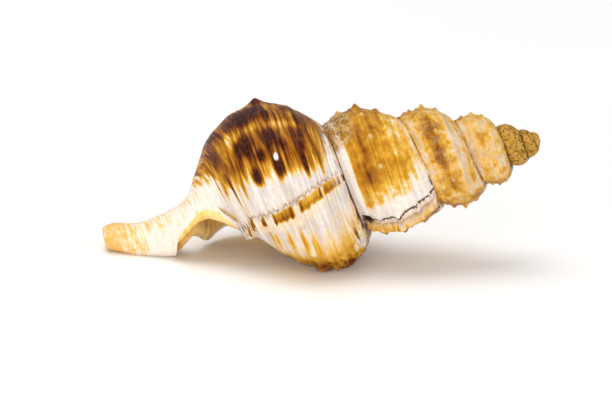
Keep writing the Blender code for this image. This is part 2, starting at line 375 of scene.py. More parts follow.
def knobShare(turn, across):
    # knobs, cords and a little unevenness, as a share of the radius
    form = reliefForm
    wave, spire = knobWave(turn), falling(turn, form["spireEnd"], 0.4)
    secondRow = 0.7 * bump(across, form["knobRow"] + form["secondRow"], 0.05) * spire
    knobs = form["knobHeight"] * wave**2 * (bump(across, form["knobRow"], 0.065) + secondRow)
    cords = sum(tall * bump(across, place, half) for place, tall, half in form["cords"])
    cords = cords * (0.7 + 0.5 * wave) * (1 + (form["spireCords"] - 1) * spire)
    uneven = 0.0035 * waveNoise(turn * 40, across * 14, 3) + 0.0025 * waveNoise(turn * 130, across * 55, 8)
    return (knobs + cords) * rising(turn, 0.5, 2) + uneven * rising(turn, 0.2, 1) * falling(across, 1.7, 0.3)


def shellRelief(turn, columnTurn, across):
    age = leanedTurn(turn, across)
    height = varixHeight(age, columnTurn, across) + wornHeight(age, turn, across)
    return height, knobShare(turn, across)


def whorlForm(turn, across, canalColumn=3):
    # distance along the axis, radius, and how far the centre stands above and behind the axis
    upper = [alongCurve(growthTable, column, turn) for column in (1, 2)]
    lower = [alongCurve(growthTable, column, turn + 1) for column in (1, 2)]
    share = np.clip(across, 0, 1)
    swell = np.clip(np.sin(math.pi * share ** alongCurve(growthTable, 4, turn)), 0, 1)
    swell = alongCurve(growthTable, 3, turn) * swell ** shellForm["swellFullness"]
    radius = blendTo(upper[1], lower[1], share) + swell
    axial = blendTo(upper[0], lower[0], share)
    root = alongCurve(baseTable, 1, turn)
    bendAxial = blendTo(lower[0], root, alongCurve(baseTable, 3, turn))
    bendRadius = alongCurve(baseTable, 2, turn)
    u = np.clip((across - 1) * 2, 0, 1)
    baseAxial = (1 - u) ** 2 * lower[0] + 2 * u * (1 - u) * bendAxial + u**2 * root
    rootRadius = alongCurve(canalTable, canalColumn, root)
    baseRadius = (1 - u) ** 2 * lower[1] + 2 * u * (1 - u) * bendRadius + u**2 * rootRadius
    canalAxial = blendTo(root, shellForm["length"], np.clip((across - 1.5) * 2, 0, 1))
    axial = np.where(across > 1.5, canalAxial, np.where(across > 1, baseAxial, axial))
    radius = np.where(across > 1, baseRadius, radius)
    radius = np.where(across > 1.5, alongCurve(canalTable, canalColumn, canalAxial), radius)
    above = alongCurve(canalTable, 1, axial) * smoothStep(u)
    behind = alongCurve(canalTable, 2, axial) * smoothStep(u)
    return axial, radius, above, behind


def edgeTurns(turn, across):
    # columns lean as growth lines do, and those of the last turn slide round to the opening's edges
    lean = shellForm["lean"]
    toLip = smoothStep(1 - (shellForm["lastTurn"] - turn) / shellForm["lipReach"])
    toColumella = smoothStep((shellForm["lastTurn"] - lean - turn) / shellForm["columellaReach"])
    toColumella = toColumella / smoothStep((1 - 2 * lean) / shellForm["columellaReach"])
    lip = alongCurve(lipEdge, 1, across)
    columella = np.where(across > 1, alongCurve(columellaEdge, 1, across), 0)
    return turn - lean * np.clip(across, 0, 1) + (lip * toLip + columella * toColumella) / 360


def placePoint(turn, axial, radius, above, behind):
    angle = 2 * math.pi * turn
    front, tilt = math.radians(shellForm["frontAngle"]), math.radians(shellForm["axisTilt"])
    outUp = radius * np.sin(angle) + above
    outFront = radius * np.cos(angle) - behind
    up = outUp * math.cos(front) + outFront * math.sin(front)
    forward = outFront * math.cos(front) - outUp * math.sin(front)
    x = -axial * math.cos(tilt) - up * math.sin(tilt)
    z = shellForm["axisHeight"] - axial * math.sin(tilt) + up * math.cos(tilt)
    return np.stack(np.broadcast_arrays(x, -forward, z), axis=-1)


def pullColumns(turn, across):
    # columns gather at each varix edge and follow its teeth
    form = reliefForm
    pulled = turn
    within = rising(across, 0, 0.06) * falling(across, 1.42, 0.1)
    for varixTurn, _, toothed in form["varices"]:
        away = leanedTurn(turn, across) - varixTurn
        near = bump(away, 0, form["pullReach"]) * within
        pulled = pulled - form["pullShare"] * away * near
        pulled = pulled + toothed * form["toothDepth"] * toothShape(across) * near
    return pulled


def outerPoint(columnTurn, across):
    turn = pullColumns(edgeTurns(columnTurn, across), across)
    axial, radius, above, behind = whorlForm(turn, across)
    height, share = shellRelief(turn, columnTurn, across)
    return placePoint(turn, axial, radius * (1 + share) + height, above, behind), turn


def innerWall(turn, across):
    step = 0.01
    axial, radius, above, behind = whorlForm(turn, across)
    ahead = whorlForm(turn, np.minimum(across + step, 2))
    back = whorlForm(turn, np.maximum(across - step, 0))
    alongAxis, alongRadius = ahead[0] - back[0], ahead[1] - back[1]
    size = np.hypot(alongAxis, alongRadius)
    wall = shellForm["wall"]
    return axial + wall * alongRadius / size, radius - wall * alongAxis / size, above, behind


def borePoint(across, share):
    # round bore of the canal, from the lip's side of its slit round to the other
    lastTurn = shellForm["lastTurn"]
    axial, radius, above, behind = whorlForm(lastTurn, across)
    slit = 360 * (lastTurn - shellForm["lean"] / 2) + (lipEdge[-1, 1] + columellaEdge[-1, 1]) / 2
    angle = np.radians(slit - shellForm["slitHalf"] - share * (360 - 2 * shellForm["slitHalf"]))
    offset, boreRadius = shellForm["boreOffset"], shellForm["boreRadius"]
    outFront = radius * (offset * math.cos(math.radians(slit)) + boreRadius * np.cos(angle))
    outUp = radius * (offset * math.sin(math.radians(slit)) + boreRadius * np.sin(angle))
    turn = np.arctan2(outUp, outFront) / (2 * math.pi)
    return placePoint(turn, axial, np.hypot(outFront, outUp), above, behind)


def hollowPoints(lipRows, columellaRows):
    # the hollow's two walls, each from its edge of the opening to the hollow's end
    form = shellForm
    lastTurn, lean = form["lastTurn"], form["lean"]
    columns = np.arange(form["hollowColumns"] + 1)[:, None]
    back = lastTurn - form["hollowDepth"] / 360
    boreSpan = form["boreFull"] - form["boreStart"]
    across = lipRows[None, :]
    depth = columns / form["hollowColumns"]
    lipTurn = blendTo(edgeTurns(lastTurn, across), back, depth)
    axial, radius, above, behind = innerWall(lipTurn, across)
    # the folds are full at a ninth of the hollow's depth and gone at two fifths
    folds = np.cos(2 * math.pi * across * form["lipFolds"]) * falling(across, 1.4, 0.3)
    folds = folds * smoothStep(1.6 - depth * 4)
    narrowed = form["foldHeight"] * smoothStep(depth * 9) * (1 + folds)
    lip = placePoint(lipTurn, axial, radius - narrowed, above, behind)
    bore = rising(across, form["boreStart"], boreSpan)[..., None]
    lip = blendTo(lip, borePoint(across, depth / 2), bore)
    across = columellaRows[None, :]
    depth = (columns + 1) / (form["hollowColumns"] + 1)
    turn = blendTo(edgeTurns(lastTurn - 1 + lean, across), back - 1, depth)
    inside = smoothStep(depth * 4)
    moved = np.where(across < 1.5, 1.5 - (1.5 - across) * (1 - form["thinned"] * inside), across)
    outside = placePoint(turn, *whorlForm(turn, moved))
    pillar = placePoint(turn, *whorlForm(turn, moved, canalColumn=4))
    columella = blendTo(outside, pillar, inside[..., None])
    bore = rising(across, form["boreStart"], boreSpan)[..., None]
    columella = blendTo(columella, borePoint(across, 1 - depth / 2), bore)
    lip[:, 0] = columella[:, 0]
    return lip, lipTurn, columella, turn


def joinLines(points, first, second):
    # triangles between two lines of points, each across the shorter way
    faces, i, j = [], 0, 0
    while i < len(first) - 1 or j < len(second) - 1:
        stepFirst = j == len(second) - 1
        if i < len(first) - 1 and j < len(second) - 1:
            one = np.linalg.norm(points[first[i + 1]] - points[second[j]])
            stepFirst = one < np.linalg.norm(points[first[i]] - points[second[j + 1]])
        if stepFirst:
            faces.append((first[i], first[i + 1], second[j]))
            i += 1
        else:
            faces.append((first[i], second[j + 1], second[j]))
            j += 1
    return [face for face in faces if len(set(face)) == 3]


# how much pigment there is, laid out along the growth
paintLayout = {
    "whorlPigment": (  # by age in turns
        (-1.0, 0.35), (1.85, 0.26), (1.95, 0.2), (2.3, 0.27), (2.6, 0.2), (2.95, 0.28), (3.37, 0.34),
        (3.4, 0.1), (3.6, 0.35), (3.84, 0.36), (3.87, -0.1), (3.93, -0.05), (3.965, 0.26), (4.03, 0.42),
        (4.2, 0.4), (4.42, 0.6), (4.45, -0.1), (4.5, 0.1), (4.56, 0.6), (4.72, 0.58), (4.81, 0.36),
        (4.86, 0.28), (4.9, 0.16), (4.94, 0.04), (4.98, -0.1),
    ),
    "bodyPigment": (  # by turn, past the last varix on the front
        (4.98, -0.25), (5.005, -0.06), (5.022, 0.18), (5.036, 0.42), (5.06, 0.6), (5.21, 0.64), (5.27, 0.5),
        (5.33, 0.34), (5.4, 0.36), (5.5, 0.46), (5.56, 0.3), (5.59, 0.1), (5.64, -0.05),
    ),
    "dark": (  # how much more in the dark rows, by age in turns
        (4.45, 0.0), (4.56, 0.3), (4.7, 0.35), (4.76, 0.15), (4.8, 0.0), (5.27, 0.0), (5.31, 0.4),
        (5.36, 0.3), (5.42, 0.1), (5.48, 0.4), (5.56, 0.45), (5.61, 0.1),
    ),
    "darkRows": (  # place across, half width, share
        (0.27, 0.05, 1.0), (0.53, 0.07, 1.0), (0.79, 0.07, 1.0), (1.05, 0.07, 0.8),
    ),
    "patches": (  # turn, place across, half length in turns, half width, how much more
        # the body whorl's front
        (5.19, 0.67, 0.036, 0.14, 0.72), (5.165, 0.52, 0.022, 0.06, 0.42), (5.24, 0.5, 0.028, 0.11, 0.5),
        (5.2, 0.29, 0.026, 0.04, 0.42), (5.15, 0.262, 0.026, 0.024, 0.5), (5.106, 0.276, 0.02, 0.024, 0.55),
        (5.076, 0.292, 0.014, 0.022, 0.55), (5.034, 0.312, 0.024, 0.022, 0.85),
        (5.104, 0.79, 0.026, 0.075, 0.72), (5.1, 0.555, 0.022, 0.065, 0.65),
        (5.07, 0.675, 0.013, 0.05, 0.45), (5.082, 0.46, 0.013, 0.04, 0.4),
        (5.028, 0.775, 0.018, 0.038, 0.95), (5.036, 0.545, 0.019, 0.046, 0.85),
        (5.15, 1.06, 0.04, 0.05, 0.4), (5.225, 0.97, 0.026, 0.04, 0.35), (5.015, 1.035, 0.05, 0.015, 0.7),
        (5.0, 0.93, 0.036, 0.012, 0.6), (5.01, 1.125, 0.055, 0.014, 0.5), (5.03, 1.19, 0.05, 0.012, 0.3),
        (4.985, 0.985, 0.02, 0.008, 0.4), (5.14, 0.86, 0.028, 0.085, -0.36),
        (5.142, 0.66, 0.012, 0.08, -0.26), (5.13, 0.42, 0.012, 0.15, -0.28),
        (5.118, 0.42, 0.03, 0.03, -0.16), (5.1, 0.17, 0.06, 0.03, -0.1), (5.05, 0.68, 0.012, 0.03, -0.16),
        (5.235, 1.3, 0.03, 0.045, 0.3),
        # the whorls before it, from the oldest on
        (2.05, 0.9, 0.15, 0.08, -0.2), (2.06, 0.6, 0.05, 0.08, 0.1), (2.91, 0.56, 0.03, 0.09, 0.26),
        (3.05, 0.62, 0.11, 0.12, 0.34), (3.05, 0.22, 0.16, 0.1, -0.3), (3.06, 0.93, 0.16, 0.06, -0.25),
        (3.985, 0.7, 0.035, 0.08, 0.26), (4.06, 0.66, 0.08, 0.03, 0.26), (4.12, 0.48, 0.05, 0.03, 0.16),
        (4.1, 0.26, 0.09, 0.09, -0.12), (4.78, 0.24, 0.02, 0.08, 0.35), (4.79, 0.5, 0.03, 0.18, 0.35),
        (4.87, 0.46, 0.03, 0.03, 0.18), (4.875, 0.84, 0.03, 0.045, 0.22), (4.885, 0.56, 0.03, 0.035, 0.26),
        (4.885, 0.7, 0.03, 0.05, 0.24), (4.895, 1.1, 0.02, 0.02, 0.2),
    ),
    "squares": (  # brown squares on a former lip: place across, half width, darkness
        (1.085, 0.018, 0.55), (1.005, 0.022, 0.62), (0.88, 0.022, 0.6), (0.755, 0.016, 0.85),
        (0.725, 0.035, 0.5), (0.68, 0.014, 0.7), (0.63, 0.06, 0.4), (0.585, 0.02, 0.85),
        (0.47, 0.018, 0.66), (0.365, 0.105, 0.34), (0.262, 0.016, 0.62), (0.205, 0.016, 0.62),
        (0.14, 0.07, 0.34), (0.072, 0.016, 0.62), (0.005, 0.03, 0.74),
    ),
    "creamiestLip": 3.86,  # turn of the former lip with twice the cream
    "knobHighlights": ((5.103, 0.551), (5.29, 0.50)),  # age and place of the painted highlights on two knobs
}


def layoutCurve(name, at):
    table = np.array(paintLayout[name])
    return np.interp(at, table[:, 0], table[:, 1])


def sharedRegions(turn, across, age):
    # masks that more than one field is made of
    return {
        "onWhorl": falling(across, 1.46, 0.34),
        "onBase": rising(across, 0.98, 0.06),
        "body": rising(age, 4.985, 0.01),  # past the last former lip
        "fifth": rising(age, 3.86, 0.06) * falling(age, 4.46, 0.04),  # between the third and fourth
        "old": falling(age, 3.90, 0.05),
        "flap": flapShape(turn, across),
        "roughPiece": worn("palePiece", age) * falling(across, 0.14, 0.06),
        "shred": bump(across, 0.065, 0.045) * worn("shreddedSuture", age),
        "knobs": knobWave(turn) ** 12 * bump(across, reliefForm["knobRow"], 0.026),
    }


def broadPigment(turn, across, age, regions):
    # the whorls, the body whorl, its base and the canal
    body, fifth, onWhorl = regions["body"], regions["fifth"], regions["onWhorl"]
    pigment = blendTo(layoutCurve("whorlPigment", age), layoutCurve("bodyPigment", turn), body)
    pigment = pigment - 0.8 * fifth * rising(across, 0.86, 0.05) * falling(age, 4.19, 0.05)
    pigment = pigment - 0.14 * fifth * falling(across, 0.30, 0.15)
    pigment = pigment - 0.18 * fifth * falling(across, 0.16, 0.10) * falling(age, 4.02, 0.10)
    pastEdge = turn - 4.945 - 0.62 * np.clip(across - 1, 0, 0.4)
    shoulder = 0.02 + 0.17 * rising(turn, 4.96, 0.08) * falling(across, 1.32, 0.1)
    shoulder = shoulder + 0.34 * rising(pastEdge, 0, 0.06) - 0.14 * rising(across, 1.2, 0.15)
    pigment = blendTo(pigment, np.minimum(shoulder, pigment + 0.1), regions["onBase"] * body)
    pigment = blendTo(-0.3, pigment, onWhorl) + 0.25 * (1 - onWhorl) * falling(across, 1.5, 0.2)
    return pigment + 0.48 * bump(across, 1.36, 0.12) * rising(turn, 5.02, 0.16)


def pigmentField(turn, across, age, regions):
    pigment = broadPigment(turn, across, age, regions)
    # the whorls' outline above and below is browner, and so are the rows of knobs
    turnPart = turn - np.floor(turn)
    outline = bump(turnPart, 0.265, 0.03) + bump(turnPart, 0.80, 0.025)
    pigment = pigment + 0.26 * outline * falling(age, 4.3, 0.1) * rising(age, 1.7, 0.2)
    pigment = pigment + 0.22 * regions["fifth"] * outline * (across < 1)
    rows = sum(share * bump(across, place, half) for place, half, share in paintLayout["darkRows"])
    pigment = pigment + layoutCurve("dark", age) * rows
    more, less = 0, 0
    for patchTurn, place, halfTurn, halfAcross, level in paintLayout["patches"]:
        away = ((turn - patchTurn) / halfTurn) ** 2 + ((across - place) / halfAcross) ** 2
        patch = level * np.exp(-(away**1.3))
        more, less = np.maximum(more, patch), np.minimum(less, patch)
    pigment = pigment + more + less
    pigment = pigment - 0.45 * regions["knobs"] * rising(turn, 5.2, 0.03) - 0.10 * bump(turn, 5.235, 0.025)
    pigment = blendTo(pigment, 0.12, 0.8 * regions["roughPiece"])
    pigment = blendTo(pigment, 0.16, regions["flap"])
    # two rings near the canal's end
    pigment = pigment + 0.44 * bump(across, 1.86, 0.08) + 0.50 * bump(across, 1.970, 0.020)
    return pigment - 0.7 * regions["shred"]


def lipMarks(across, age):
    # the brown squares, the cream and the painted shadow below the toothed edge of the last former lips and
    # the present one
    squares, cream, ledgeShadow = 0, 0, 0
    presentLip = (shellForm["lastTurn"] + 0.005, 1.0, 1.0)
    for varixTurn, _, toothed in reliefForm["varices"][2:] + (presentLip,):
        past = pastLip(age, across, varixTurn, toothed)
        smooth = past + 0.6 * toothed * reliefForm["toothDepth"] * (toothShape(across) - 0.5)
        along = rising(smooth, -0.021, 0.010) * falling(smooth, 0.007, 0.006) * (0.4 + 0.6 * toothed)
        for place, half, level in paintLayout["squares"]:
            within = falling(np.abs(across - place), half + 0.012, 0.024)
            squares = np.maximum(squares, (level + 0.22 * bump(smooth, -0.012, 0.006)) * along * within)
        creamShare = 2 if varixTurn == paintLayout["creamiestLip"] else 1
        cream = cream + creamShare * rising(past, -0.045, 0.015) * falling(past, 0.006, 0.006)
        # painted shadow along the foot of each toothed lip edge, on its younger side
        ledgeShadow = ledgeShadow + bump(past, 0.0085, 0.0028) * rising(across, 0, 0.05) * falling(across, 1.3, 0.1)
    return squares, cream, ledgeShadow


def sutureField(turn, across, age):
    # painted shade in the seam between two whorls, in the groove past the third former lip and in the pit
    # near it, and a dark crack on the underside
    seam = 0.020 + 0.012 * falling(turn, 4.4, 0.2) + 0.07 * falling(turn, 2.0, 0.5)
    # painted shade in the seam between the whorls
    suture = falling(across, seam, seam) + rising(across, 1 - seam * 0.8, seam) * (across < 0.9999)
    suture = suture * rising(turn, -0.4, 0.3) * (1 - 0.45 * falling(turn, 4.5, 0.1) * rising(turn, 1.7, 0.3))
    wander = crackWander(turn, across)
    # painted shade in the groove past the third former lip and in its pit, and a dark crack on the underside
    cracksAndShade = worn("grooveShade", age + wander) * falling(across, 0.97, 0.1) * rising(across, -0.01, 0.03)
    cracksAndShade = cracksAndShade + 0.7 * bump(across + 3 * wander, 0.072, 0.009) * worn("undersideCrack", age)
    cracksAndShade = cracksAndShade + 3 * worn("pitShade", age) * bump(across, 0.93, 0.045) * (across < 0.9999)
    return suture + cracksAndShade


def paintKnobHighlights(across, age):
    knobHighlight = 0
    for knobAge, knobPlace in paintLayout["knobHighlights"]:
        # painted highlight: a white spot on each of two knobs
        knobHighlight = np.maximum(knobHighlight, bump(age, knobAge, 0.009) * bump(across, knobPlace, 0.020))
    return knobHighlight


def paintFields(turn, across, inside):
    age = leanedTurn(turn, across)
    regions = sharedRegions(turn, across, age)
    fifth, old, onWhorl = regions["fifth"], regions["old"], regions["onWhorl"]
    squares, cream, ledgeShadow = lipMarks(across, age)
    dull = fifth * rising(age, 4.13, 0.06) * rising(across, 0.60, 0.18) + 0.9 * regions["flap"]
    dull = dull + 0.30 * worn("dullUnderside", age) * onWhorl * rising(across, 0.2, 0.2)
    mottled = old + 0.6 * fifth + 1.3 * worn("mottledUnderside", age) * onWhorl
    strip = bump(across, 0.045, 0.022) * rising(age, 2.6, 0.3) + 0.7 * bump(across, 0.93, 0.03) * fifth
    canal = rising(across, 1.3, 0.25) * (0.25 + 0.75 * rising(turn, 5.02, 0.1))
    ragged = 0.16 + 0.14 * rising(age, 3.8, 0.1) + 0.7 * rising(age, 4.42, 0.05)
    fields = {
        "pigment": pigmentField(turn, across, age, regions),
        "squares": squares,
        "cream": cream,
        "ledgeShadow": ledgeShadow,
        "tan": falling(age, 1.85, 0.35) - 0.5 * falling(age, -0.55, 0.2),
        "dull": dull,
        "knobHighlight": paintKnobHighlights(across, age),
        "old": old,
        "mottled": mottled + 0.8 * regions["roughPiece"],
        "knobs": regions["knobs"] * (1 - regions["body"]),
        "canal": np.maximum(canal, rising(across, 1.74, 0.08)),
        "bare": (1 - rising(across, 1.12, 0.2)) * (1 - 0.55 * fifth),
        "tip": rising(across, 1.84, 0.12),
        "strip": strip * (1 - worn("stripGap", age)) + 1.8 * regions["shred"],
        "ragged": ragged - 0.80 * worn("smoothBelly", age),
        "suture": sutureField(turn, across, age),
    }
    fields = {name: np.clip(values, -1, 2) * (1 - inside) for name, values in fields.items()}
    # the inside of the lip and of the columella, and its folds
    lipRim = rising(turn, shellForm["lastTurn"] - 0.10, 0.08)
    columellaRim = rising(turn, shellForm["lastTurn"] - 0.98, 0.06) * (turn < 5.3)
    fields["rim"] = inside * np.maximum(lipRim, columellaRim) * falling(across, 1.55, 0.2)
    wrinkles = rising(np.sin(2 * math.pi * 22 * across), -0.1, 0.6)
    fields["wrinkles"] = 0.8 * fields["rim"] * wrinkles * falling(across, 1.25, 0.2)
    return fields


class ShellMesh:
    # points, faces and the growth place of each face's corners
    def __init__(self):
        self.blocks, self.count = [], 0
        self.faces, self.turns, self.acrosses, self.insides = [], [], [], []

    def addPoints(self, new):
        start = self.count
        self.blocks.append(new.reshape(-1, 3))
        self.count += new.size // 3
        return start + np.arange(new.size // 3).reshape(new.shape[:-1])

    def addGrid(self, grid, turn, across, inside):
        turn, across = np.broadcast_to(turn, grid.shape), np.broadcast_to(across, grid.shape)

        def corners(values):
            around = [values[:-1, :-1], values[1:, :-1], values[1:, 1:], values[:-1, 1:]]
            return np.stack(around, -1).reshape(-1, 4).tolist()

        for face, turns, acrosses in zip(corners(grid), corners(turn), corners(across)):
            kept = [k for k in range(4) if face[k] != face[k - 1]]
            if len(kept) > 2:
                corner = [[values[k] for k in kept] for values in (face, turns, acrosses)]
                self.addFace(*corner, inside)

    def addFace(self, face, turns, acrosses, inside):
        self.faces.append(tuple(int(k) for k in face))
        self.turns += turns
        self.acrosses += acrosses
        self.insides += [inside] * len(face)


def buildShell():
    form = shellForm
    build = ShellMesh()
    columns = round((form["lastTurn"] - form["firstTurn"]) * form["turnColumns"]) + 1
    turns = form["firstTurn"] + np.arange(columns) / form["turnColumns"]
    shared = form["turnColumns"] - form["leanColumns"]
    firstBase = columns - 1 - shared
    whorlRows = np.linspace(0, 1, form["whorlRows"] + 1)
    canalSteps = np.array([1.5, 1.56, 1.61, 1.64, 1.67, 1.72, 1.8, 1.9, 2.0])
    fine = np.arange((len(canalSteps) - 1) * form["canalRowsPerStep"] + 1) / form["canalRowsPerStep"]
    canalRows = np.interp(fine, np.arange(len(canalSteps)), canalSteps)
    lowerRows = np.concatenate([np.linspace(1, 1.5, form["baseRows"] + 1)[1:], canalRows[1:]])

    # outside: each turn's lower edge is the next turn's upper edge
    turn = turns[:, None]
    strip = np.zeros((columns, len(whorlRows)), int)
    outer, outerTurn = outerPoint(turn, whorlRows[None, :])
    strip[:, :-1] = build.addPoints(outer[:, :-1])
    strip[:-shared, -1] = strip[shared:, 0]
    strip[-shared:, -1] = build.addPoints(outer[-shared:, -1])
    build.addGrid(strip, outerTurn, whorlRows[None, :], 0.0)
    lower = np.zeros((shared + 1, len(lowerRows) + 1), int)
    lower[:, 0] = strip[firstBase:, -1]
    base, baseTurn = outerPoint(turn[firstBase:], lowerRows[None, :])
    lower[:, 1:] = build.addPoints(base)
    baseTurn = np.hstack([outerTurn[firstBase:, -1:], baseTurn])
    build.addGrid(lower, baseTurn, np.concatenate([[1.0], lowerRows])[None, :], 0.0)

    # apex
    rim = np.concatenate([strip[: shared + 1, 0], strip[0, 1:-1][::-1]])
    tip = int(build.addPoints(placePoint(form["firstTurn"], -0.1, 0.0, 0.0, 0.0)[None])[0])
    for a, b in zip(rim, np.roll(rim, -1)):
        build.addFace([tip, a, b], [form["firstTurn"]] * 3, [0.5] * 3, 0.0)

    # hollow
    lipRows = np.concatenate([whorlRows, lowerRows])
    columellaRows = np.concatenate([[1.0], lowerRows])
    lip, lipTurn, columella, columellaTurn = hollowPoints(lipRows, columellaRows)
    insideColumella = build.addPoints(columella)
    insideLip = np.hstack([insideColumella[:, :1], build.addPoints(lip[:, 1:])])
    lipGrid = np.vstack([np.concatenate([strip[-1], lower[-1, 1:]]), insideLip])
    columellaGrid = np.vstack([lower[0], insideColumella])
    build.addGrid(lipGrid, np.vstack([lipTurn[:1], lipTurn]), lipRows[None, :], 1.0)
    build.addGrid(columellaGrid, np.vstack([columellaTurn[:1], columellaTurn]), columellaRows[None, :], 1.0)
    points = np.concatenate(build.blocks)
    corner = len(whorlRows) - 1
    backGrid = np.stack([lipGrid[-1, corner:], columellaGrid[-1]])
    build.addGrid(backGrid, lipTurn[-1:, :1], columellaRows[None, :], 1.0)
    for a, b in zip(lipGrid[-1, :corner], lipGrid[-1, 1 : corner + 1]):
        if columellaGrid[-1, 0] not in (a, b):
            build.addFace([a, b, columellaGrid[-1, 0]], [form["lastTurn"]] * 3, [1.0] * 3, 1.0)
    innerRim = np.concatenate([lipGrid[:, -1], columellaGrid[::-1, -1]])
    for face in joinLines(points, lower[::-1, -1].tolist(), innerRim.tolist()):
        build.addFace(face, [form["lastTurn"]] * 3, [2.0] * 3, 1.0)

    points[:, 2] = np.maximum(points[:, 2], 0)
    points[:, 0] -= form["middle"][0]
    points[:, 1] -= form["middle"][1]
    low, high = (np.array(corner) * 1000 for corner in cadBox)
    points = np.clip(points, low, high)
    mesh = bpy.data.meshes.new("shellSurface")
    mesh.from_pydata((points * 0.001).tolist(), [], build.faces)
    turn, across, inside = (np.array(values) for values in (build.turns, build.acrosses, build.insides))
    fields = {"turn": turn, "across": across, "inside": inside, **paintFields(turn, across, inside)}
    for name, values in fields.items():
        attribute = mesh.attributes.new(name, "FLOAT", "CORNER")
        attribute.data.foreach_set("value", values.astype(np.float32))
    outward = bmesh.new()
    outward.from_mesh(mesh)
    bmesh.ops.recalc_face_normals(outward, faces=outward.faces)
    outward.to_mesh(mesh)
    outward.free()
    mesh.shade_smooth()
    shell = bpy.data.objects.new("shell", mesh)
    bpy.context.scene.collection.objects.link(shell)
    print("shell:", len(mesh.vertices), "points,", len(mesh.polygons), "faces")
    return shell


shell = buildShell()
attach(shell, "root")
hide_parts("frog_shell")

# shell finish
shellColours = {
    "white": (0.80, 0.75, 0.70),
    "pinkWhite": (0.68, 0.56, 0.46),
    "lavender": (0.50, 0.435, 0.445),
    "cream": (0.84, 0.68, 0.38),
    "paleTan": (0.55, 0.37, 0.21),
    "tan": (0.50, 0.29, 0.05),
    "oldTan": (0.33, 0.155, 0.018),
    "dullTan": (0.55, 0.37, 0.16),
    # colour of the painted shade in the seams, the groove and the pit, and of the underside crack
    "shadeAndCrack": (0.12, 0.048, 0.012),
    "peach": (0.74, 0.43, 0.11),
    "ochre": (0.82, 0.47, 0.10),
    "farWall": (1.0, 0.68, 0.24),
    "lipRim": (1.0, 0.74, 0.34),
    # dark specks, and painted shade where the seam, groove and pit are darkest
    "speckAndShade": (0.03, 0.018, 0.008),
}
pigmentColours = (  # pigment level, colour
    (0.00, (0.82, 0.58, 0.20)),
    (0.13, (0.69, 0.39, 0.048)),
    (0.28, (0.48, 0.220, 0.013)),
    (0.46, (0.28, 0.098, 0.005)),
    (0.62, (0.145, 0.036, 0.003)),
    (0.80, (0.062, 0.011, 0.003)),
    (1.00, (0.032, 0.005, 0.003)),
)
shellSurface = {
    "streakLift": 1.5,  # how far the streaks push the pigment's edge about
    "threadsPerWhorl": 28.0,
    "specular": 0.075,
    "bumpDistance": 0.00022,
    "bumpStrength": 0.8,
}


class NodeBench:
    # short ways to lay shader nodes in a tree
    def __init__(self, tree):
        self.tree = tree

    def node(self, kind, **values):
        made = self.tree.nodes.new(kind)
        for key, value in values.items():
            setattr(made, key, value)
        return made

    def put(self, socket, value):
        if isinstance(value, bpy.types.NodeSocket):
            self.tree.links.new(value, socket)
        elif value is not None:
            socket.default_value = value

    def field(self, name):
        return self.node("ShaderNodeAttribute", attribute_name=name).outputs["Fac"]

    def calc(self, operation, a, b=None, c=None):
        made = self.node("ShaderNodeMath", operation=operation)
        for socket, value in zip(made.inputs, (a, b, c)):
            self.put(socket, value)
        return made.outputs[0]

    def times(self, a, b):
        return self.calc("MULTIPLY", a, b)

    def plus(self, a, b):
        return self.calc("ADD", a, b)

    def timesPlus(self, a, b, c):
        return self.calc("MULTIPLY_ADD", a, b, c)

    def ramp(self, value, low, high):
        # 0 below low, 1 above high, soft between
        made = self.node("ShaderNodeMapRange", interpolation_type="SMOOTHSTEP")
        self.put(made.inputs["Value"], value)
        self.put(made.inputs["From Min"], low)
        self.put(made.inputs["From Max"], high)
        return made.outputs["Result"]

    def mix(self, share, a, b, blend="MIX"):
        made = self.node("ShaderNodeMix", data_type="RGBA", blend_type=blend)
        self.put(made.inputs[0], share)
        for socket, value in zip(made.inputs[6:8], (a, b)):
            self.put(socket, (*value, 1) if isinstance(value, tuple) and len(value) == 3 else value)
        return made.outputs[2]

    def curve(self, value, stops):
        made = self.node("ShaderNodeValToRGB")
        self.put(made.inputs[0], value)
        stopList = made.color_ramp.elements
        while len(stopList) < len(stops):
            stopList.new(1.0)
        for stop, (at, colour) in zip(stopList, stops):
            stop.position = at
            stop.color = (*colour, 1)
        return made.outputs["Color"]

    def noise(self, vector, scale, detail=3.0, roughness=0.5):
        made = self.node("ShaderNodeTexNoise")
        self.put(made.inputs["Vector"], vector)
        made.inputs["Scale"].default_value = scale
        made.inputs["Detail"].default_value = detail
        made.inputs["Roughness"].default_value = roughness
        return made.outputs["Fac"]

    def place(self, u, v, w=0.0):
        made = self.node("ShaderNodeCombineXYZ")
        for socket, value in zip(made.inputs, (u, v, w)):
            self.put(socket, value)
        return made.outputs[0]


def makeStreaks():
    # unevenness drawn out along the spiral threads
    tree = bpy.data.node_groups.new("spiralStreaks", "ShaderNodeTree")
    for name, value in (("Along", 14.0), ("Across", 44.0), ("Seed", 0.0)):
        tree.interface.new_socket(name, in_out="INPUT", socket_type="NodeSocketFloat").default_value = value
    tree.interface.new_socket("Level", in_out="OUTPUT", socket_type="NodeSocketFloat")
    bench = NodeBench(tree)
    given = bench.node("NodeGroupInput").outputs
    result = bench.node("NodeGroupOutput")
    u = bench.times(bench.field("turn"), given["Along"])
    v = bench.times(bench.field("across"), given["Across"])
    level = bench.noise(bench.place(u, v, given["Seed"]), 1.0, 3.0, 0.55)
    tree.links.new(level, result.inputs["Level"])
    return tree


spiralStreaks = makeStreaks()


def streaks(bench, alongTurn, acrossWhorl, seed):
    made = bench.node("ShaderNodeGroup", node_tree=spiralStreaks)
    made.inputs["Along"].default_value = alongTurn
    made.inputs["Across"].default_value = acrossWhorl
    made.inputs["Seed"].default_value = seed
    return made.outputs["Level"]


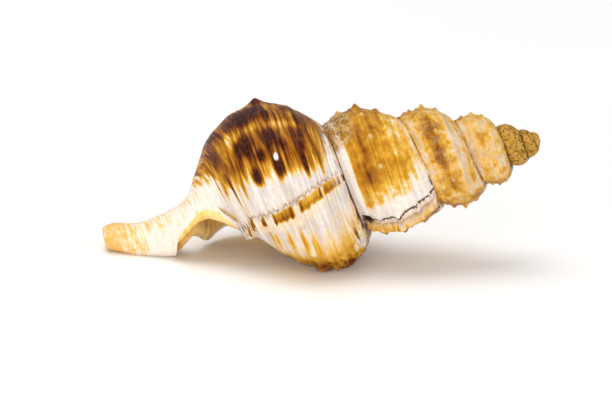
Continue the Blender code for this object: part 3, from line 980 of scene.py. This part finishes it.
def makeShellPaint():
    c = shellColours
    paint = bpy.data.materials.new("shellPaint")
    paint.use_nodes = True
    bench = NodeBench(paint.node_tree)
    mix, ramp, field, noise = bench.mix, bench.ramp, bench.field, bench.noise
    times, plus, timesPlus = bench.times, bench.plus, bench.timesPlus
    shader = paint.node_tree.nodes["Principled BSDF"]
    position = bench.node("ShaderNodeNewGeometry").outputs["Position"]
    long = streaks(bench, 7.0, 22.0, 1.0)
    short = streaks(bench, 22.0, 42.0, 4.0)
    broad = streaks(bench, 5.0, 8.0, 7.0)
    fine = streaks(bench, 18.0, 90.0, 21.0)
    mottle = noise(position, 260.0, 4.0, 0.6)

    # white ground with grey streaks, tan on the old whorls
    greyed = times(ramp(plus(long, broad), 0.76, 1.22), 0.9)
    ground = mix(times(greyed, field("bare")), c["white"], c["lavender"])
    tanGround = mix(ramp(mottle, 0.38, 0.66), c["paleTan"], c["pinkWhite"])
    ground = mix(field("old"), ground, tanGround)
    creamShare = times(field("cream"), ramp(broad, 0.30, 0.65))
    ground = mix(times(creamShare, 0.55), ground, c["cream"])

    # pigment, its edge drawn out into points along the threads
    uneven = timesPlus(short, 0.45, timesPlus(fine, 0.30, -0.875))
    uneven = plus(long, uneven)
    uneven = times(uneven, shellSurface["streakLift"])
    uneven = times(uneven, field("ragged"))
    blotch = noise(position, 620.0, 4.0, 0.6)
    mottled = times(bench.calc("SUBTRACT", blotch, 0.5), field("mottled"))
    level = plus(plus(field("pigment"), uneven), mottled)
    level = bench.calc("MAXIMUM", level, timesPlus(uneven, 0.5, field("squares")))
    stain = bench.curve(bench.calc("SUBTRACT", level, 0.12), pigmentColours)
    colour = mix(ramp(level, 0.04, 0.28), ground, stain)
    dulled = times(field("old"), ramp(noise(position, 900.0, 3.0), 0.35, 0.7))
    colour = mix(times(dulled, 0.32), colour, c["paleTan"])
    grain = times(ramp(noise(position, 1500.0, 2.0), 0.45, 0.75), 0.16)
    colour = mix(grain, colour, c["oldTan"])

    # dull tan of the first whorls, the shoulder and the worn underside
    tanLevel = timesPlus(mottle, 0.9, bench.calc("SUBTRACT", field("tan"), 0.45))
    tanBlotch = ramp(noise(position, 1300.0, 3.0), 0.40, 0.64)
    tan = mix(tanBlotch, c["tan"], c["oldTan"])
    colour = mix(times(ramp(tanLevel, 0.15, 0.75), 0.85), colour, tan)
    dullLevel = timesPlus(mottle, 0.9, bench.calc("SUBTRACT", field("dull"), 0.45))
    dull = mix(ramp(blotch, 0.38, 0.62), c["dullTan"], c["oldTan"])
    colour = mix(times(ramp(dullLevel, 0.15, 0.75), 0.8), colour, dull)

    # canal and its rings
    rings = timesPlus(broad, 0.5, streaks(bench, 5.0, 90.0, 15.0))
    rings = timesPlus(field("tip"), 0.10, rings)
    ringed = times(field("canal"), ramp(rings, 0.72, 0.92))
    creamed = timesPlus(ramp(field("across"), 1.45, 1.75), 0.28, 0.12)
    colour = mix(times(field("canal"), creamed), colour, c["cream"])
    colour = mix(times(ringed, 0.9), colour, c["peach"])
    tip = times(field("tip"), ramp(plus(short, mottle), 0.7, 1.25))
    colour = mix(tip, colour, c["peach"])

    # painted shadow under the former lips' edges, the torn edge of the suture, cream knob tips, painted
    # highlights on two knobs, and painted shade in the seam between the whorls, in a groove and in a pit,
    # with a dark crack on the underside
    # painted shadow under each former lip's edge, in old tan
    colour = mix(times(field("ledgeShadow"), ramp(short, 0.3, 0.6)), colour, c["oldTan"])
    torn = times(field("strip"), ramp(short, 0.42, 0.58))
    colour = mix(times(torn, 0.85), colour, c["white"])
    colour = mix(times(field("knobs"), 0.6), colour, c["cream"])
    # painted highlights on two knobs, in white
    colour = mix(ramp(field("knobHighlight"), 0.25, 0.6), colour, c["white"])
    # painted shade in the seams, the groove and the pit, and the underside crack
    shadeAndCrack = timesPlus(bench.calc("SUBTRACT", short, 0.5), 1.9, field("suture"))
    shadeAndCrackShare = times(ramp(shadeAndCrack, 0.2, 0.6), ramp(field("suture"), 0.03, 0.2))
    colour = mix(times(shadeAndCrackShare, 0.96), colour, c["shadeAndCrack"])
    colour = mix(ramp(shadeAndCrack, 1.1, 1.8), colour, c["speckAndShade"])

    # specks on the first whorls and the shoulder
    specks = ramp(noise(position, 2700.0, 2.0), 0.54, 0.61)
    specked = ramp(plus(field("tan"), field("dull")), 0.7, 1.0)
    speckShare = times(specks, specked)
    colour = mix(times(speckShare, 0.75), colour, c["speckAndShade"])

    # inside of the opening
    ribs = ramp(streaks(bench, 3.0, 30.0, 12.0), 0.35, 0.7)
    depths = mix(ribs, c["farWall"], c["ochre"])
    depths = mix(times(field("rim"), 0.7), depths, c["lipRim"])
    wrinkled = times(field("wrinkles"), ramp(broad, 0.25, 0.6))
    depths = mix(wrinkled, depths, c["oldTan"])
    colour = mix(field("inside"), colour, depths)
    bench.put(shader.inputs["Base Color"], colour)

    # threads and grain
    perWhorl = 2 * math.pi * shellSurface["threadsPerWhorl"]
    threads = bench.calc("SINE", times(field("across"), perWhorl))
    threads = times(threads, field("ragged"))
    height = timesPlus(threads, 0.22, times(short, 0.6))
    height = timesPlus(mottle, 0.5, height)
    raised = bench.node("ShaderNodeBump")
    raised.inputs["Distance"].default_value = shellSurface["bumpDistance"]
    raised.inputs["Strength"].default_value = shellSurface["bumpStrength"]
    bench.put(raised.inputs["Height"], height)
    bench.put(shader.inputs["Normal"], raised.outputs["Normal"])
    rough = timesPlus(field("tan"), 0.25, timesPlus(mottle, 0.25, 0.24))
    bench.put(shader.inputs["Roughness"], rough)
    shader.inputs["Specular IOR Level"].default_value = shellSurface["specular"]
    print("shell finish:", len(paint.node_tree.nodes), "nodes")
    return paint


shell.data.materials.append(makeShellPaint())

# stage
stageSettings = {
    "floorSize": 3.0,
    "floorColour": (0.93, 0.92, 0.91),
    "floorRoughness": 0.6,
    "worldColour": (1.0, 1.0, 1.0),
    "worldStrength": 0.58,
}
stageLights = {  # place, what it points at, size, power and colour
    "topSoft": ((-0.15, 0.05, 0.7), (0, 0, 0.01), 0.6, 2.8, (1.0, 1.0, 1.0)),
    "frontSoft": ((-0.4, -0.7, 0.35), (0, 0, 0.015), 0.5, 1.5, (1.0, 1.0, 1.0)),
    "rightSoft": ((0.6, -0.3, 0.3), (0, 0, 0.015), 0.4, 1.0, (1.0, 1.0, 1.0)),
    "lowSoft": ((-0.15, -0.60, 0.05), (-0.015, 0, 0.008), 0.2, 1.7, (1.0, 0.88, 0.72)),
}
cameraSettings = {
    "elevation": 17.0,
    "azimuth": -3.3,
    "roll": 2.0,
    "distance": 0.95,
    "sensorWidth": 36,
    "photoSize": (612, 408),
    "millimetresPerPixel": 0.169,
    "apexPixel": (540.5, 141.0),  # where the photo has the shell's tip
    "aimHeight": 0.013,
}


def makeFloor():
    half = stageSettings["floorSize"] / 2
    mesh = bpy.data.meshes.new("floor")
    corners = [(-half, -half, 0), (half, -half, 0), (half, half, 0), (-half, half, 0)]
    mesh.from_pydata(corners, [], [(0, 1, 2, 3)])
    floor = bpy.data.objects.new("floor", mesh)
    bpy.context.scene.collection.objects.link(floor)
    paint = bpy.data.materials.new("floorPaint")
    paint.use_nodes = True
    shader = paint.node_tree.nodes["Principled BSDF"]
    shader.inputs["Base Color"].default_value = (*stageSettings["floorColour"], 1)
    shader.inputs["Roughness"].default_value = stageSettings["floorRoughness"]
    mesh.materials.append(paint)


def makeLight(name, place, target, size, power, colour):
    data = bpy.data.lights.new(name, "AREA")
    data.shape = "DISK"
    data.size = size
    data.energy = power
    data.color = colour
    light = bpy.data.objects.new(name, data)
    light.location = place
    light.rotation_euler = (Vector(target) - Vector(place)).to_track_quat("-Z", "Y").to_euler()
    bpy.context.scene.collection.objects.link(light)


def makeCamera():
    s = cameraSettings
    elevation, azimuth, roll = (math.radians(s[key]) for key in ("elevation", "azimuth", "roll"))
    rightFlat = Vector((math.cos(azimuth), math.sin(azimuth), 0))
    ahead = Vector((-math.sin(azimuth), math.cos(azimuth), 0))
    upFlat = ahead * math.sin(elevation) + Vector((0, 0, 1)) * math.cos(elevation)
    back = -(ahead * math.cos(elevation) - Vector((0, 0, 1)) * math.sin(elevation))
    right = rightFlat * math.cos(roll) + upFlat * math.sin(roll)
    up = upFlat * math.cos(roll) - rightFlat * math.sin(roll)
    points = [Vector(v.co) for v in shell.data.vertices]
    apex = max(points, key=lambda p: p.dot(right))
    scale = s["millimetresPerPixel"] * 0.001
    width, height = s["photoSize"]
    offsetRight = (width / 2 - s["apexPixel"][0]) * scale
    offsetUp = -(height / 2 - s["apexPixel"][1]) * scale
    centre = apex.dot(right) * right + apex.dot(up) * up + offsetRight * right + offsetUp * up
    centre += Vector((0, 0, s["aimHeight"])).dot(back) * back
    data = bpy.data.cameras.new("camera")
    data.sensor_width = s["sensorWidth"]
    data.lens = s["sensorWidth"] * s["distance"] / (width * scale)
    data.clip_start = 0.05
    data.clip_end = 20
    camera = bpy.data.objects.new("camera", data)
    turnTo = Matrix((right, up, back)).transposed().to_4x4()
    camera.matrix_world = Matrix.Translation(centre + back * s["distance"]) @ turnTo
    bpy.context.scene.collection.objects.link(camera)
    bpy.context.scene.camera = camera
    print("camera at", [round(c, 4) for c in camera.location])


makeFloor()
makeCamera()
for name, settings in stageLights.items():
    makeLight(name, *settings)
world = bpy.data.worlds.new("studio")
world.use_nodes = True
world.node_tree.nodes["Background"].inputs["Color"].default_value = (*stageSettings["worldColour"], 1)
world.node_tree.nodes["Background"].inputs["Strength"].default_value = stageSettings["worldStrength"]
bpy.context.scene.world = world
bpy.context.scene.view_settings.view_transform = "Standard"
print("stage: floor, camera and", len(stageLights), "lights")
